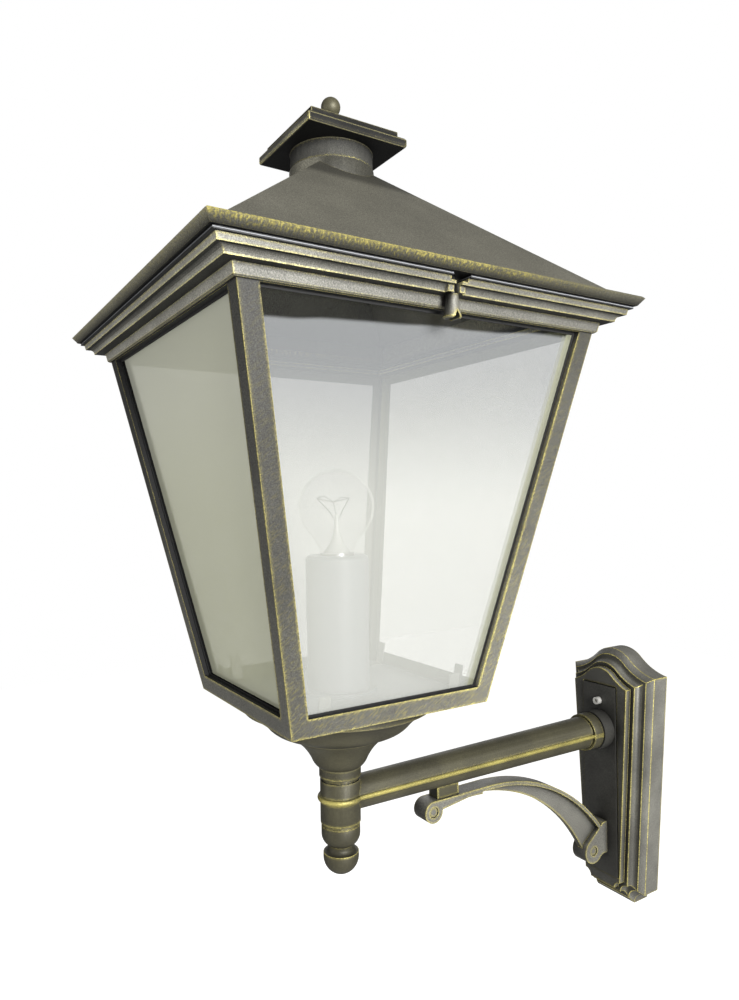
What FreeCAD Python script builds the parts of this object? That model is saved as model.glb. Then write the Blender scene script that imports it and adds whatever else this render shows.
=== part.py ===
import FreeCAD, Part
import math
import os

# Outdoor wall lantern on a braced arm. Millimetres, +Z up, the wall is the plane Y = 0 and the
# lantern hangs out along -Y. The origin is midway between the two wall screws.

# Where the main pieces stand
projection = 344.5          # wall to lantern axis
arm_height = 87.0           # arm axis above the origin
arm_drop = 80.0             # arm axis below the cage's underside
rim_half = 165.4            # roof's rim, which all the widths above the panes follow

# Cage and panes
cage_bottom_half = 82.1
cage_top_half = rim_half - 24.9674
cage_height = 281.8
cage_wall = 4.1
post_width = 13.5
rail_height = 13.2
window_top = cage_height - 7.8
cage_lip = 3.0
cage_mouth_half = 58.0
seal_thickness = 0.8
pane_thickness = 3.6
pane_edge_inset = 10.5      # pane edge in from the corner of the cage
glazing_gap = 0.1
pane_lift = 0.3
pane_top_gap = 0.6
corner_boss = 6.0
corner_boss_height = 18.0
floor_thickness = 2.0
floor_gap = 0.4
seal_reach = 1.5            # seal showing inside each window
clip_width = 9.0
clip_height = 19.0
clip_foot = 11.0
clip_thickness = 1.0
clip_gap = 0.2
clip_from_middle = 55.0

# Cornice
skirt_gap = 0.2
skirt_thickness = 2.2
skirt_drop = 7.4
skirt_round = 1.0
soffit_half = rim_half - 15.2
cove_rise = 4.4
cove_run = 4.4
fascia_half = rim_half - 8.4
fascia_batter = 1.0
fascia_rise = 4.1
cornice_mouth_half = rim_half - 43.4
cornice_flange = 4.0
cornice_rim_half = rim_half - 19.4
gasket_inner_half = rim_half - 18.9
gasket_outer_half = rim_half - 6.0
gasket_thickness = 1.7
lid_gap = 0.3
corner_screw_radius = 1.4
corner_screw_head = 2.7
corner_screw_head_height = 2.4
corner_screw_length = 14.0

# Roof and cap
rim_lower_half = rim_half - 3.9
rim_face = 5.0
rim_round = 1.6
pyramid_half = rim_half - 10.4
roof_slope = 0.836
roof_wall = 5.4             # measured level
roof_mouth_half = rim_half - 31.4
collar_radius = 33.5
collar_top = 120.0          # above the rim's underside
collar_bore = 29.0
collar_floor = 5.0
collar_pocket = 7.5
neck_radius = 32.5
neck_height = 14.5
cap_half = 43.0
cap_thickness = 7.5
cap_round = 1.5
tier_half = 38.0
tier_thickness = 5.5
cap_peak = 6.0
cap_peak_half = 9.0
ball_radius = 7.7
ball_lift = 20.0
knob_collar_radius = 6.5
knob_collar_height = 3.0
knob_neck_radius = 4.0
cap_stud_radius = 3.0
stud_clearance = 0.3
nut_height = 4.0
nut_half_flats = 5.0
stud_tail = 3.0

# Roof hinge, on the side away from the latch
hinge_overhang = 5.1        # axis beyond the rim's edge
hinge_drop = 5.0            # axis below the rim's underside
hinge_spread = 75.0
hinge_pin_radius = 2.0
hinge_clearance = 0.05
knuckle_radius = 4.5
knuckle_width = 9.0
knuckle_gap = 0.4
hinge_leaf = 6.0

# Latch
latch_offset = rim_half - 16.8
latch_shank_radius = 2.0
latch_slot_gap = 0.4
latch_head_radius = 4.1
latch_flare_radius = 5.9
latch_head_length = 15.2
latch_straight = 5.0
latch_notch = 2.2
latch_notch_depth = 5.0
latch_seat_gap = 0.3
latch_collar_radius = 3.4
latch_collar_height = 1.2
latch_reach = 4.5           # shank above the rim's underside
lug_half = 6.65
lug_face = rim_half - 11.8
lug_height = 6.3

# Lamp
pillar_radius = 24.5
pillar_wall = 2.0
pillar_height = 55.0
pillar_foot_radius = 30.0
pillar_foot = 2.0
holder_radius = 25.0
holder_height = 51.0
socket_radius = 14.0
socket_depth = 28.0
bulb_radius = 30.0
bulb_centre = 38.0          # above the holder
bulb_cap_radius = 13.4
bulb_cap_height = 25.0
bulb_neck_radius = 13.0
bulb_wall = 1.0
bulb_seat = 2.0             # glass starts this far above the holder
bulb_stem_radius = 5.5
bulb_stem_height = 30.0
bulb_tip_radius = 4.0
bulb_neck_turn = 50         # degrees below level where the ball meets the neck
bulb_tip_height = 3.0

# Base cup, stem and finial, as drops below the cage
cup_radius = 75.0
cup_rim = 6.0
cup_belly = (70.0, 16.0)
cup_ledge = (56.5, 21.8)
cup_ledge_in = (55.0, 23.2)
cup_bowl = (43.6, 32.2)
cup_ring = (31.5, 36.7)
cup_ring_in = (30.0, 37.7)
cup_flare = (23.2, 45.8)
cup_throat = (20.4, 53.0)
cup_round = (19.2, 55.3)
stem_radius = 16.6
stem_top = 56.4
cup_hollow = ((62.0, 0.0), (62.0, 8.0), (46.0, 18.0), (34.0, 27.0), (20.0, 33.0))
cup_hollow_end = 36.0
groove_radius = 14.8
groove_height = 2.6
sleeve_radius = 16.0
sleeve_rise = 16.8          # sleeve above the arm axis
sleeve_fall = 19.2          # sleeve below the arm axis
bead_radius = 2.2
finial_radius = 15.4        # the finial's drops are below the sleeve
finial_side = 9.8
finial_shoulder = (13.6, 15.0)
finial_neck = (9.9, 18.3)
finial_neck_end = 20.8
acorn_flare = (10.9, 22.6)
acorn_radius = 14.1
acorn_top = 23.8
acorn_edge = 26.4
finial_bottom = 41.5
nipple_radius = 5.0
nipple_bore = 3.5
nipple_clearance = 0.4
nipple_tail = 12.8          # below the sleeve
nipple_head = 9.0           # above the floor plate
stem_nut_half_flats = 8.5
stem_nut_height = 5.5

# Arm, measured out from the wall
arm_radius_out = 13.0
arm_radius_in = 15.2
arm_bore = 7.0
arm_collar_start = 67.5
arm_collar_radius = 17.6
arm_joint = 55.0
spigot_radius = 9.0
spigot_clearance = 0.4
spigot_end = 30.5
pad_start = 252.5
pad_end = 229.5
pad_half = 6.0
rib_radius = 1.9

# Brace, measured out from the wall and down from the arm axis
brace_half = 8.5
brace_web = 3.0
brace_top = 22.3
nose = (258.0, 31.5)
nose_radius = 9.2
back_bend_start = 197.0
back_bend = 185.0
belly_start = (220.0, 27.0)
belly_bend = 170.0
back_end = 50.0
belly_end = 70.0
heel = (61.0, 117.0)
heel_radius = 12.0
foot_thickness = 6.0
foot_top = 91.5
foot_bottom = 122.5
top_flange = 3.4
pocket_start = 204.0
pocket_end = (52.5, 71.0)
pocket_overrun = 1.0
brace_pin_radius = 4.2
brace_pin_gap = 0.3
brace_pin_recess = 1.0
brace_screw_radius = 2.0
brace_screw_gap = 0.25
brace_screw_head = 3.8
brace_screw_head_height = 2.6
brace_screw_sink = 1.0
pad_screw_depth = 9.0
foot_screw_depth = 8.0

# Arm plate
panel_face = 41.5           # out from the wall
panel_half = 19.7
panel_top = 44.0            # above the arm axis
panel_bottom = 144.3        # below the arm axis
panel_skin = 4.5
panel_rim = 3.0
panel_boss_radius = 19.2
tongue_half = 14.0
tongue_reach = 3.5
tongue_thickness = 4.0
tongue_gap = 0.4
arm_nut_half_flats = 12.5
arm_nut_height = 6.5
set_screw_height = 28.0     # above the arm axis
set_screw_radius = 2.4
set_screw_gap = 0.3
set_screw_head = 3.6
set_screw_head_height = 4.6
set_screw_socket = 1.6
set_screw_socket_depth = 2.4
set_screw_length = 22.0

# Wall plate: outline of the front face, then the steps of its edge going back to the wall
plate_face = 40.0
shoulder_half = 32.5
shoulder_height = 44.0      # above the arm axis
crown_height = 61.0         # above the arm axis
crown_radius = 21.0
sweep_radius = 55.0
foot_half = 21.5
plate_bottom = 156.5        # below the arm axis
scoop_radius = 6.8
shoulder_spread = 0.66      # growth of each size for each unit of step
crown_spread = 0.45
foot_spread = 0.8
scoop_spread = 0.33
first_step = (4.8, 33.5)
cove_start = 30.5
cove_end = (11.8, 25.0)
slab_step = (17.5, 19.5)
recess_gap = 0.6
recess_floor = 28.5
recess_floor_wall = 4.0
cavity_step = 8.0           # outline of the hollow back
wall_screw_spacing = 98.0
wall_screw_radius = 2.75
wall_boss_radius = 6.0
set_boss_radius = 5.5
cable_hole_radius = 16.0


def vec(x, y, z):
    return FreeCAD.Vector(x, y, z)


def lantern_base():
    return arm_height + arm_drop


def hinge_offset():
    return rim_half + hinge_overhang


def at_lantern(shape):
    """Moves a shape drawn about its own axis, upward from the cage's underside, to the lantern."""
    shape.translate(vec(0, -projection, lantern_base()))
    return shape


def cylinder(radius, low, high, x=0, y=0):
    return Part.makeCylinder(radius, high - low, vec(x, y, low))


def rod_y(radius, start, end, x=0, z=0):
    return Part.makeCylinder(radius, end - start, vec(x, start, z), vec(0, 1, 0))


def rod_x(radius, half, y, z):
    return Part.makeCylinder(radius, 2 * half, vec(-half, y, z), vec(1, 0, 0))


def box(x, y, z):
    """A box from three (low, high) pairs."""
    size = [high - low for low, high in (x, y, z)]
    return Part.makeBox(*size, vec(x[0], y[0], z[0]))


def turned(points):
    """A solid of revolution about Z from (radius, height) corners. Four numbers make an arc: a point on
    it and then its end."""
    edges = []
    ends = [vec(point[-2], 0, point[-1]) for point in points]
    for index, point in enumerate(points):
        start, end = ends[index - 1], ends[index]
        if len(point) == 4:
            edges.append(Part.Arc(start, vec(point[0], 0, point[1]), end).toShape())
        else:
            edges.append(Part.LineSegment(start, end).toShape())
    return Part.Face(Part.Wire(edges)).revolve(vec(0, 0, 0), vec(0, 0, 1), 360)


def rectangle(x, y, z):
    corners = [vec(x[0], y[0], z), vec(x[1], y[0], z), vec(x[1], y[1], z), vec(x[0], y[1], z)]
    return Part.makePolygon(corners + corners[:1])


def square(half, z):
    return rectangle((-half, half), (-half, half), z)


def frustum(low_half, low, high_half, high):
    return Part.makeLoft([square(low_half, low), square(high_half, high)], True, True)


def moulding(points):
    """A solid with a square plan whose side follows (half width, height) points, going up."""
    solids = []
    for (low_half, low), (high_half, high) in zip(points, points[1:]):
        if high > low:
            solids.append(frustum(low_half, low, high_half, high))
    return solids[0].multiFuse(solids[1:]).removeSplitter()


def hexagon(half_flats, low, high, bore):
    """A hexagon nut standing on its face."""
    reach = half_flats / math.cos(math.pi / 6)
    turns = [math.pi / 3 * i for i in range(6)]
    corners = [vec(reach * math.cos(a), reach * math.sin(a), low) for a in turns]
    nut = Part.Face(Part.makePolygon(corners + corners[:1])).extrude(vec(0, 0, high - low))
    return nut.cut(cylinder(bore, low, high))


def quarter(shape, turns):
    """A copy turned about the lantern axis by quarter turns."""
    copy = shape.copy()
    copy.rotate(vec(0, 0, 0), vec(0, 0, 1), 90 * turns)
    return copy


def all_round(shape):
    return [quarter(shape, turns) for turns in range(4)]


def cage_half(height):
    lean = (cage_top_half - cage_bottom_half) / cage_height
    return cage_bottom_half + lean * height


def cage_shell(inset, low, high):
    """The space inside the cage's outer faces, moved in level by inset."""
    return frustum(cage_half(low) - inset, low, cage_half(high) - inset, high)


def window(margin):
    """A cutter for one window, with its edges moved into the opening by margin."""
    low = rail_height + margin
    high = window_top - margin
    low_half = cage_half(low) - post_width - margin
    high_half = cage_half(high) - post_width - margin
    corners = [vec(0, -low_half, low), vec(0, low_half, low)]
    corners += [vec(0, high_half, high), vec(0, -high_half, high)]
    return Part.Face(Part.makePolygon(corners + corners[:1])).extrude(vec(2 * rim_half, 0, 0))


def corner_bosses(grow):
    """Square pillars in the cage's top corners that take the cornice screws."""
    centre = cage_half(cage_height) - pane_edge_inset + corner_boss / 2
    reach = corner_boss / 2 + grow
    low = cage_height - corner_boss_height - grow
    span = (centre - reach, centre + corner_boss)
    return all_round(box(span, span, (low, cage_height)))


def corner_screw_place():
    return cage_half(cage_height) - pane_edge_inset + corner_boss / 2


def make_cage_frame():
    outer = cage_shell(0, 0, cage_height)
    cage = outer.cut(cage_shell(cage_wall, cage_lip, cage_height))
    cage = cage.cut(box(*[(-cage_mouth_half, cage_mouth_half)] * 2, (0, cage_lip)))
    cage = cage.cut(all_round(window(0)))
    cage = cage.fuse([boss.common(outer) for boss in corner_bosses(0)])
    place = corner_screw_place()
    hole = cylinder(corner_screw_radius, cage_height - corner_screw_length, cage_height, place, place)
    return cage.cut(all_round(hole)).removeSplitter()


def floor_top():
    return cage_lip + floor_thickness


def make_floor_plate():
    half = cage_half(cage_lip) - cage_wall - floor_gap
    plate = frustum(half, cage_lip, half, floor_top())
    return plate.cut(cylinder(nipple_radius + nipple_clearance, cage_lip, floor_top()))


def pane_low():
    return floor_top() + pane_lift


def pane_high():
    return cage_height - pane_top_gap


def seal_inset():
    return cage_wall + glazing_gap


def pane_inset():
    return seal_inset() + seal_thickness + glazing_gap


def make_pane_seal():
    seal = cage_shell(seal_inset(), pane_low(), pane_high())
    seal = seal.cut(cage_shell(seal_inset() + seal_thickness, pane_low(), pane_high()))
    seal = seal.cut(all_round(window(seal_reach)))
    return seal.cut(corner_bosses(clip_gap))


def pane_section(height, near, far, half):
    edge = cage_half(height)
    return rectangle((edge - far, edge - near), half(edge), height)


def make_pane():
    near = pane_inset()
    far = near + pane_thickness

    def edges(edge):
        return (pane_edge_inset - edge, edge - pane_edge_inset)

    sections = [pane_section(z, near, far, edges) for z in (pane_low(), pane_high())]
    return Part.makeLoft(sections, True, True)


def make_clip(side):
    """A bent strip on the floor that holds a pane's foot."""
    near = pane_inset() + pane_thickness + clip_gap
    far = near + clip_thickness
    middle = side * clip_from_middle
    span = (middle - clip_width / 2, middle + clip_width / 2)
    low = floor_top()
    sections = [pane_section(z, near, far, lambda edge: span) for z in (low, low + clip_height)]
    inner = cage_half(low) - near
    foot = box((inner - clip_foot, inner), span, (low, low + clip_thickness))
    return Part.makeLoft(sections, True, True).fuse(foot.cut(glass_room())).removeSplitter()


def glass_room():
    """Everything outside the clips' outer face."""
    inset = pane_inset() + pane_thickness + clip_gap
    high = floor_top() + clip_height
    room = box(*[(-2 * rim_half, 2 * rim_half)] * 2, (floor_top(), high))
    return room.cut(cage_shell(inset, floor_top(), high))


def skirt_low():
    return cage_height - skirt_drop


def skirt_half(height):
    return cage_half(height) + skirt_gap + skirt_thickness


def cove_points():
    """The hollow under the fascia, from the soffit's edge up and out."""
    points = []
    for step in range(7):
        turn = math.pi / 12 * step
        half = soffit_half + cove_run * (1 - math.cos(turn))
        points.append((half, cornice_seat() + cove_rise * math.sin(turn)))
    return points


def cornice_seat():
    """The cornice flange lies on the cage's top edge."""
    return cage_height


def cornice_top():
    return cornice_seat() + cove_rise + fascia_rise


def latch_lugs():
    """The two ears that the thumbscrew stands between, before its slot is cut."""
    back = skirt_half(cornice_seat()) - skirt_thickness
    seat = cornice_seat()
    block = box((back, lug_face - lug_half / 2), (-lug_half, lug_half), (seat, seat + lug_height))
    nose_block = box((back, lug_face), (-lug_half, lug_half), (seat, seat + lug_height - skirt_round))
    return block.fuse(nose_block)


def latch_slot():
    half = latch_shank_radius + latch_slot_gap
    back = latch_offset - half
    front = fascia_half + lug_half
    slot = box((back, front), (-half, half), (cornice_seat(), cornice_top()))
    bar = box((back - half, front), (-lug_half, lug_half), (cornice_seat() + lug_height, cornice_top()))
    return slot.fuse(bar)


def rim_low():
    return cornice_top() + gasket_thickness + lid_gap


def hinge_level():
    return rim_low() - hinge_drop


def knuckle(centre):
    low = centre - knuckle_width / 2
    return rod_y(knuckle_radius, low, low + knuckle_width, -hinge_offset(), hinge_level())


def hinge_bore(low, high, radius):
    return rod_y(radius, low, high, -hinge_offset(), hinge_level())


def hinge_places():
    return (-hinge_spread, hinge_spread)


def cornice_hinge():
    """One eye on an arm at each hinge."""
    eyes = []
    top = cornice_top() - gasket_thickness
    for middle in hinge_places():
        span = (middle - knuckle_width / 2, middle + knuckle_width / 2)
        arm = box((-hinge_offset(), -cornice_rim_half), span, (top - hinge_leaf, top))
        eyes.append(knuckle(middle).fuse(arm))
    return eyes


def hinge_bores():
    reach = 2 * knuckle_width
    radius = hinge_pin_radius + hinge_clearance
    return [hinge_bore(middle - reach, middle + reach, radius) for middle in hinge_places()]


def make_cornice_ring():
    low = skirt_low()
    seat = cornice_seat()
    side = [(skirt_half(low) - skirt_round, low), (skirt_half(low + skirt_round), low + skirt_round)]
    side += [(skirt_half(seat), seat)] + cove_points()
    side += [(fascia_half - fascia_batter, seat + cove_rise), (fascia_half, cornice_top())]
    ring = moulding(side).fuse([latch_lugs()] + cornice_hinge())
    ring = ring.cut(cage_shell(-skirt_gap, low, seat))
    mouth = [(-cornice_mouth_half, cornice_mouth_half)] * 2
    well = [(-cornice_rim_half, cornice_rim_half)] * 2
    ring = ring.cut([box(*mouth, (low, cornice_top())), box(*well, (seat + cornice_flange, cornice_top()))])
    place = corner_screw_place()
    hole = cylinder(corner_screw_radius + clip_gap, seat, seat + cornice_flange, place, place)
    ring = ring.cut(all_round(hole) + [latch_slot()] + hinge_bores())
    return ring.removeSplitter()


def make_cornice_screws():
    place = corner_screw_place()
    seat = cornice_seat() + cornice_flange
    low = cage_height - corner_screw_length
    shank = cylinder(corner_screw_radius, low, seat, place, place)
    head = cylinder(corner_screw_head, seat, seat + corner_screw_head_height, place, place)
    return Part.Compound(all_round(shank.fuse(head).removeSplitter()))


def make_lid_gasket():
    low = cornice_top()
    high = low + gasket_thickness
    gasket = frustum(gasket_outer_half, low, gasket_outer_half, high)
    gasket = gasket.cut(frustum(gasket_inner_half, low, gasket_inner_half, high))
    half = lug_half + clip_gap
    return gasket.cut(box((cornice_mouth_half, gasket_outer_half), (-half, half), (low, high)))


def rim_top():
    return rim_low() + rim_face + rim_round


def seam():
    return rim_low() + collar_top


def roof_hinge():
    """Two eyes each side of every cornice eye, hung from the rim."""
    eyes = []
    top = rim_low() + rim_face
    reach = knuckle_width + knuckle_gap
    for middle in hinge_places():
        for side in (-1, 1):
            centre = middle + side * reach
            span = (centre - knuckle_width / 2, centre + knuckle_width / 2)
            across = (-hinge_offset() - knuckle_radius, -hinge_offset() + knuckle_radius)
            stem = box(across, span, (hinge_level(), top))
            leaf = box((-hinge_offset(), -rim_lower_half + hinge_leaf), span, (rim_low(), top))
            eyes += [knuckle(centre), stem, leaf]
    return eyes


def make_roof():
    low = rim_low()
    top = rim_top()
    crown_half = pyramid_half - (seam() - top) / roof_slope
    side = [(rim_lower_half, low), (rim_half, low + rim_face), (rim_half - rim_round, top)]
    side += [(pyramid_half, top), (crown_half, seam())]
    roof = moulding(side).fuse([cylinder(collar_radius, top, seam())] + roof_hinge())
    inner_half = pyramid_half - roof_wall
    turn = top + (inner_half - roof_mouth_half) * roof_slope
    web = seam() - collar_pocket - collar_floor
    web_half = roof_mouth_half - (web - turn) / roof_slope
    hollow = moulding([(roof_mouth_half, low), (roof_mouth_half, turn), (web_half, web)])
    pocket = cylinder(collar_bore, seam() - collar_pocket, seam())
    stud_hole = cylinder(cap_stud_radius + stud_clearance, web, seam())
    shank = latch_shank_radius + latch_slot_gap
    blind = cylinder(shank, low, low + latch_reach + latch_slot_gap, latch_offset)
    return roof.cut([hollow, pocket, stud_hole, blind] + hinge_bores()).removeSplitter()


def make_hinge_pins():
    half = 1.5 * knuckle_width + knuckle_gap
    return Part.Compound([hinge_bore(y - half, y + half, hinge_pin_radius) for y in hinge_places()])


def cap_low():
    return seam() + neck_height


def tier_top():
    return cap_low() + cap_thickness + tier_thickness


def make_chimney_cap():
    low = cap_low()
    slab_top = low + cap_thickness
    side = [(cap_half - cap_round / 2, low), (cap_half, low + cap_round), (cap_half, slab_top - cap_round)]
    side += [(cap_half - cap_round, slab_top), (tier_half, slab_top), (tier_half, tier_top())]
    side += [(cap_peak_half, tier_top() + cap_peak)]
    cap = moulding(side).fuse(cylinder(neck_radius, seam(), low))
    cap = cap.cut(cylinder(collar_bore, seam(), low))
    return cap.cut(cylinder(cap_stud_radius + stud_clearance, low, tier_top() + cap_peak)).removeSplitter()


def cap_nut_top():
    return seam() - collar_pocket - collar_floor


def make_cap_knob():
    seat = tier_top() + cap_peak
    centre = seat + ball_lift
    tail = cap_nut_top() - nut_height - stud_tail
    shaft = turned([
        (0, tail), (cap_stud_radius, tail), (cap_stud_radius, seat), (knob_collar_radius, seat),
        (knob_collar_radius, seat + knob_collar_height), (knob_neck_radius, seat + 2 * knob_collar_height),
        (knob_neck_radius, centre), (0, centre),
    ])
    return shaft.fuse(Part.makeSphere(ball_radius, vec(0, 0, centre))).removeSplitter()


def make_cap_nut():
    top = cap_nut_top()
    return hexagon(nut_half_flats, top - nut_height, top, cap_stud_radius + hinge_clearance)


def make_latch_screw():
    seat = cornice_seat() - latch_seat_gap
    end = seat - latch_head_length
    collar = cornice_seat() + lug_height + latch_seat_gap
    collar_end = collar + latch_collar_height
    tip = rim_low() + latch_reach
    screw = turned([
        (0, end), (latch_flare_radius - skirt_round, end), (latch_flare_radius, end + skirt_round),
        (latch_head_radius, seat - latch_straight), (latch_head_radius, seat),
        (latch_shank_radius, seat), (latch_shank_radius, collar), (latch_collar_radius, collar),
        (latch_collar_radius, collar_end), (latch_shank_radius, collar_end),
        (latch_shank_radius, tip), (0, tip),
    ])
    notch_points = ((-latch_notch, end), (latch_notch, end), (0, end + latch_notch_depth))
    corners = [vec(-rim_half, y, z) for y, z in notch_points]
    notch = Part.Face(Part.makePolygon(corners + corners[:1])).extrude(vec(2 * rim_half, 0, 0))
    screw = screw.cut(notch)
    screw.translate(vec(latch_offset, 0, 0))
    return screw


def make_lamp_pillar():
    low = floor_top()
    top = low + pillar_height
    bore = pillar_radius - pillar_wall
    return turned([
        (bore, low), (pillar_foot_radius, low), (pillar_foot_radius, low + pillar_foot),
        (pillar_radius, low + pillar_foot), (pillar_radius, top), (bore, top),
    ])


def holder_top():
    return floor_top() + pillar_height + holder_height


def make_lampholder():
    low = floor_top() + pillar_height
    top = holder_top()
    rim = pillar_wall
    return turned([
        (0, low), (holder_radius, low), (holder_radius, top - rim), (holder_radius - rim, top),
        (socket_radius, top), (socket_radius, top - socket_depth), (0, top - socket_depth),
    ])


def glass_low():
    return holder_top() + bulb_seat


def bulb_profile(shrink):
    """Outline of the bulb from its neck to its crown, moved inward by shrink."""
    centre = holder_top() + bulb_centre
    radius = bulb_radius - shrink
    neck = bulb_neck_radius - shrink
    turn = math.radians(bulb_neck_turn)
    join = (radius * math.cos(turn), centre - radius * math.sin(turn))
    return [(neck, glass_low()), (neck, glass_low() + bulb_seat), join, (radius, centre, 0, centre + radius)]


def make_bulb_glass():
    outer = turned([(0, glass_low())] + bulb_profile(0))
    return outer.cut(turned([(0, glass_low())] + bulb_profile(bulb_wall)))


def make_bulb_cap():
    low = glass_low() - bulb_cap_height
    return turned([
        (0, low - bulb_tip_height), (bulb_tip_radius, low - bulb_tip_height), (2 * bulb_tip_radius, low),
        (bulb_cap_radius, low + bulb_tip_height), (bulb_cap_radius, glass_low()), (0, glass_low()),
    ])


def make_bulb_stem():
    low = glass_low()
    return turned([
        (0, low), (2 * bulb_stem_radius, low), (bulb_stem_radius, low + bulb_stem_height / 4),
        (bulb_stem_radius / 2, low + bulb_stem_height / 2), (bulb_stem_radius / 4, low + bulb_stem_height),
        (0, low + bulb_stem_height),
    ])


def drop(points, level=0):
    """Turns drops below a level into heights; arcs keep their four numbers."""
    return [tuple(value if i % 2 == 0 else -value - level for i, value in enumerate(p)) for p in points]


def stem_joint():
    return arm_drop - sleeve_rise


def sleeve_bottom():
    return arm_drop + sleeve_fall


def make_base_cup():
    side = drop([
        (0, 0), (cup_radius, 0), (cup_radius, cup_rim), cup_belly + cup_ledge, cup_ledge_in,
        cup_bowl + cup_ring, cup_ring_in, cup_flare + cup_throat, cup_round + (stem_radius, stem_top),
        (stem_radius, stem_joint()), (0, stem_joint()),
    ])
    hollow = drop([(0, 0)] + list(cup_hollow) + [(nipple_radius, cup_hollow_end), (0, cup_hollow_end)])
    bore = cylinder(nipple_radius + nipple_clearance, -stem_joint(), 0)
    return turned(side).cut([turned(hollow), bore])


def acorn_side():
    """A point on the acorn's round, whose centre is on the axis."""
    depth = finial_bottom - acorn_edge
    lift = (depth ** 2 - acorn_radius ** 2) / (2 * depth)
    reach = (depth - lift) * math.sqrt(0.5)
    return reach, acorn_edge + lift + reach


def make_finial():
    side = [
        (0, 0), (groove_radius, 0), (groove_radius, groove_height), (finial_radius, groove_height),
        (finial_radius, finial_side), finial_shoulder + finial_neck, (finial_neck[0], finial_neck_end),
        acorn_flare + (acorn_radius, acorn_top), (acorn_radius, acorn_edge), acorn_side() + (0, finial_bottom),
    ]
    top = -sleeve_bottom()
    bore = cylinder(nipple_radius + hinge_clearance, top - nipple_tail, top)
    return turned(drop(side, sleeve_bottom())).cut(bore)


def make_stem_nipple():
    low = -sleeve_bottom() - nipple_tail
    high = floor_top() + nipple_head
    return cylinder(nipple_radius, low, high).cut(cylinder(nipple_bore, low, high))


def make_stem_nut():
    low = floor_top()
    return hexagon(stem_nut_half_flats, low, low + stem_nut_height, nipple_radius + hinge_clearance)


def out(distance):
    """Y of a point measured out from the wall."""
    return -distance


def arm_sleeve():
    low = arm_height - sleeve_fall
    top = arm_height + sleeve_rise
    sleeve = cylinder(sleeve_radius, low, top - groove_height, 0, -projection)
    neck = cylinder(groove_radius, top - groove_height, top, 0, -projection)
    ring = Part.makeTorus(sleeve_radius, bead_radius, vec(0, out(projection), arm_height))
    return sleeve.fuse([neck, ring])


def arm_rib(side):
    """The half-round bead along one flank of the tube."""
    start = vec(side * arm_radius_out, out(projection - sleeve_radius / 2), arm_height)
    end = vec(side * arm_radius_in, out(arm_collar_start), arm_height)
    return Part.makeCylinder(rib_radius, (end - start).Length, start, end - start)


def make_arm():
    start = vec(0, out(projection), arm_height)
    length = projection - arm_collar_start
    tube = Part.makeCone(arm_radius_out, arm_radius_in, length, start, vec(0, 1, 0))
    collar = rod_y(arm_collar_radius, out(arm_collar_start), out(arm_joint), 0, arm_height)
    spigot = rod_y(spigot_radius, out(arm_joint), out(spigot_end), 0, arm_height)
    pad = box((-pad_half, pad_half), (out(pad_start), out(pad_end)), (arm_height - brace_top, arm_height))
    arm = arm_sleeve().fuse([tube, arm_rib(-1), arm_rib(1), collar, spigot, pad])
    bore = rod_y(arm_bore, -projection, out(spigot_end), 0, arm_height)
    ends = (arm_height - sleeve_fall, arm_height + sleeve_rise)
    shaft = cylinder(nipple_radius + nipple_clearance, *ends, 0, -projection)
    return arm.cut([bore, shaft, pad_screw(brace_screw_gap)]).removeSplitter()


def pad_screw(gap):
    """Shank of the screw that goes up through the brace into the arm's pad."""
    middle = out((pad_start + pad_end) / 2)
    seat = arm_height - brace_top
    low = seat - pad_screw_depth - gap
    return cylinder(brace_screw_radius + gap, low, seat + pad_screw_depth + gap, 0, middle)


def foot_screw(gap):
    """Shank of the screw that comes through the arm plate into the brace's foot."""
    level = arm_height - (foot_top + foot_bottom) / 2
    start = out(panel_face) - foot_screw_depth - gap
    return rod_y(brace_screw_radius + gap, start, out(panel_face - panel_skin), 0, level)


def bow(centre_out, centre_drop, radius, distance):
    """Drop below the arm axis of a circle's upper side, at a distance out."""
    return centre_drop - math.sqrt(radius ** 2 - (distance - centre_out) ** 2)


def brace_point(distance, depth, x):
    return vec(x, out(distance), arm_height - depth)


def brace_arc(centre_out, centre_drop, radius, start, end, x):
    middle = (start + end) / 2
    points = [brace_point(d, bow(centre_out, centre_drop, radius, d), x) for d in (start, middle, end)]
    return Part.Arc(*points).toShape()


def closed_face(edges):
    """A face from edges in order, with straight lines closing the gaps between them."""
    joined = []
    for edge, following in zip(edges, edges[1:] + edges[:1]):
        joined.append(edge)
        gap_start = edge.lastVertex(True).Point
        gap_end = following.firstVertex(True).Point
        joined.append(Part.LineSegment(gap_start, gap_end).toShape())
    return Part.Face(Part.Wire(joined))


def back_centre():
    return brace_top + back_bend


def belly_centre():
    return belly_start[1] + belly_bend


def brace_bow():
    x = -brace_half
    back = brace_arc(back_bend_start, back_centre(), back_bend, back_bend_start, back_end, x)
    belly = brace_arc(belly_start[0], belly_centre(), belly_bend, belly_end, belly_start[0], x)
    nose_low = brace_point(nose[0] - nose_radius / 2, nose[1], x)
    nose_top = brace_point(nose[0], brace_top, x)
    front = Part.LineSegment(nose_low, nose_top).toShape()
    return closed_face([back, belly, front]).extrude(vec(2 * brace_half, 0, 0))


def brace_pocket(side):
    start, lower_end = pocket_start, pocket_end[1]
    x = side * brace_half
    roof_line = brace_arc(back_bend_start, back_centre(), back_bend - top_flange, start, pocket_end[0], x)
    lip_line = brace_arc(belly_start[0], belly_centre(), belly_bend - pocket_overrun, lower_end, start, x)
    return closed_face([roof_line, lip_line]).extrude(vec(side * (brace_web - brace_half), 0, 0))


def heel_touch(distance, depth):
    """Place on the heel's front where a line from a point above it touches."""
    rise, away = depth - heel[1], distance - heel[0]
    turn = math.atan2(rise, away) + math.acos(heel_radius / math.hypot(rise, away))
    return heel[0] + heel_radius * math.cos(turn), heel[1] + heel_radius * math.sin(turn)


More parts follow.
